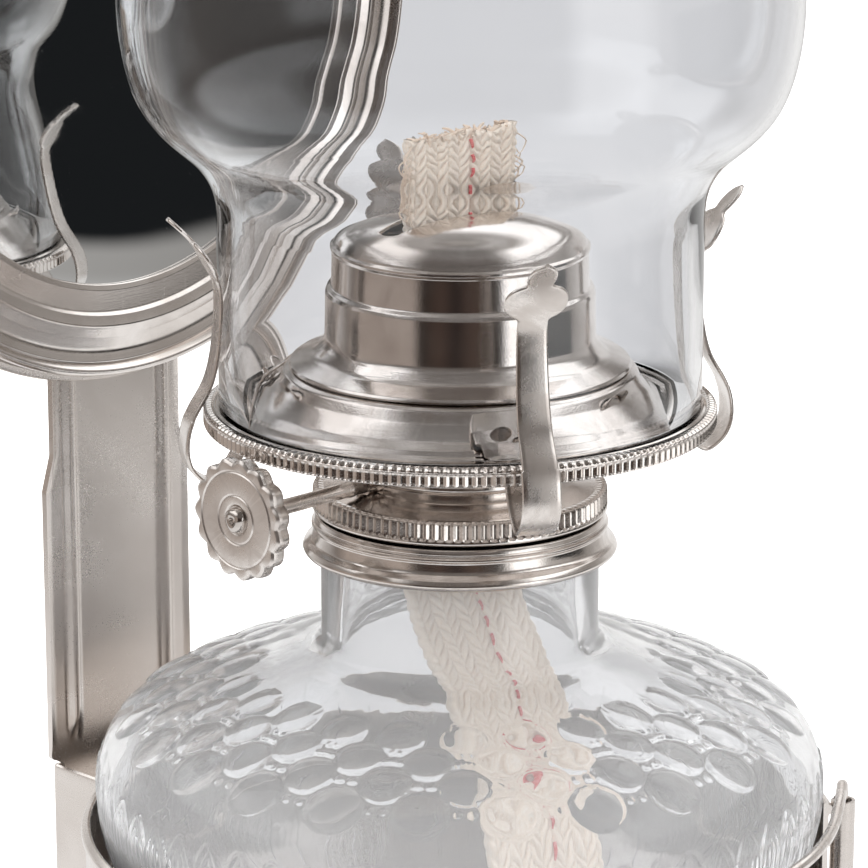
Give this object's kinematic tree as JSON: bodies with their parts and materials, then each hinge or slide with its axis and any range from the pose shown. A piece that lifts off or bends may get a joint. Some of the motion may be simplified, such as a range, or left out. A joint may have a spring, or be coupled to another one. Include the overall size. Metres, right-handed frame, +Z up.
{
  "type": "oil lamp",
  "caption": "Kerosene wall lamp: pressed-glass font in a metal cup, flat-wick burner with spring prongs, bulged glass chimney and a round mirror on a stem.",
  "frame": {"origin": "on the lamp's axis at the underside of the cup's flat floor", "axes": "+Z up along the lamp's axis, +Y towards the wall, +X to the right seen from the front"},
  "size_m": [0.13, 0.1442, 0.318],
  "materials": {
    "nickel_plate": "bright nickel plate on brass, lightly worn",
    "holder_steel": "nickel-plated sheet steel, satin with faint haze",
    "spring_wire": "drawn and plated spring wire",
    "clear_glass": "clear pressed and blown soda glass",
    "mirror": "silvered glass",
    "backing_card": "grey card",
    "plaster": "set plaster cement",
    "bare_brass": "unplated brass, dulled",
    "cotton": "flat woven cotton with red marker stitches"
  },
  "bodies": {
    "holder": {"holder_cup": "holder_steel", "holder_band": "holder_steel", "rolled_lugs": "holder_steel", "band_rivets": "holder_steel", "bracket_arm": "holder_steel", "arm_rivets": "holder_steel", "stem_socket": "holder_steel", "socket_spring": "holder_steel"},
    "retaining_wire": {"retaining_wire": "spring_wire"},
    "reflector": {"stem": "holder_steel", "mirror_glass": "mirror", "mirror_backing": "backing_card", "mirror_bezel": "nickel_plate", "mirror_back_plate": "nickel_plate", "mirror_rivets": "nickel_plate"},
    "font": {"font": "clear_glass", "font_collar": "nickel_plate", "collar_plaster": "plaster"},
    "burner": {"burner_base": "nickel_plate", "burner_body": "nickel_plate", "tube_plate": "bare_brass", "wick_tube": "bare_brass", "shaft_sleeve": "nickel_plate", "gallery": "nickel_plate", "prong_feet": "nickel_plate", "seat_ring": "nickel_plate", "air_plate": "bare_brass"},
    "deflector": {"dome": "nickel_plate"},
    "winder": {"winder_shaft": "nickel_plate", "spur_wheels": "bare_brass", "knob": "nickel_plate", "knob_rivet": "nickel_plate"},
    "wick": {"wick": "cotton"},
    "chimney": {"chimney": "clear_glass"},
    "prong_1": {"prong_1": "nickel_plate"},
    "prong_2": {"prong_2": "nickel_plate"},
    "prong_3": {"prong_3": "nickel_plate"},
    "prong_4": {"prong_4": "nickel_plate"}
  },
  "joints": [
    {"name": "wire_lift", "type": "slide", "parent": "holder", "child": "retaining_wire", "axis": [0, 0, 1], "range_m": [0, 0.02]},
    {"name": "stem_lift", "type": "slide", "parent": "holder", "child": "reflector", "axis": [0, 0, 1], "range_m": [0, 0.026]},
    {"name": "font_lift", "type": "slide", "parent": "holder", "child": "font", "axis": [0, 0, 1], "range_m": [0, 0.045]},
    {"name": "burner_turn", "type": "hinge", "parent": "font", "child": "burner", "pos_m": [0, 0, 0.08], "axis": [0, 0, 1], "range_deg": [0, 1170]},
    {"name": "chimney_lift", "type": "slide", "parent": "burner", "child": "chimney", "axis": [0, 0, 1], "range_m": [0, 0.06]},
    {"name": "deflector_lift", "type": "slide", "parent": "burner", "child": "deflector", "axis": [0, 0, 1], "range_m": [0, 0.018]},
    {"name": "winder_turn", "type": "hinge", "parent": "burner", "child": "winder", "pos_m": [0, 0.005, 0.0904], "axis": [1, 0, 0], "range_deg": [-84, 204]},
    {"name": "wick_travel", "type": "slide", "parent": "burner", "child": "wick", "axis": [0, 0, 1], "range_m": [-0.0115, 0.0045]},
    {"name": "prong_1_flex", "type": "hinge", "parent": "burner", "child": "prong_1", "pos_m": [-0.03544, 0.02062, 0.0922], "axis": [-0.503, -0.8643, 0], "range_deg": [0, 8], "stiffness_Nm_per_rad": 0.3},
    {"name": "prong_2_flex", "type": "hinge", "parent": "burner", "child": "prong_2", "pos_m": [-0.02062, -0.03544, 0.0922], "axis": [0.8643, -0.503, 0], "range_deg": [0, 8], "stiffness_Nm_per_rad": 0.3},
    {"name": "prong_3_flex", "type": "hinge", "parent": "burner", "child": "prong_3", "pos_m": [0.03544, -0.02062, 0.0922], "axis": [0.503, 0.8643, 0], "range_deg": [0, 8], "stiffness_Nm_per_rad": 0.3},
    {"name": "prong_4_flex", "type": "hinge", "parent": "burner", "child": "prong_4", "pos_m": [0.02062, 0.03544, 0.0922], "axis": [-0.8643, 0.503, 0], "range_deg": [0, 8], "stiffness_Nm_per_rad": 0.3}
  ],
  "couplings": [
    {"joint": "winder_turn", "follows": "wick_travel", "rad_per_m": -303.03},
    {"joint": "prong_2_flex", "follows": "prong_1_flex", "ratio": 1},
    {"joint": "prong_3_flex", "follows": "prong_1_flex", "ratio": 1},
    {"joint": "prong_4_flex", "follows": "prong_1_flex", "ratio": 1}
  ]
}
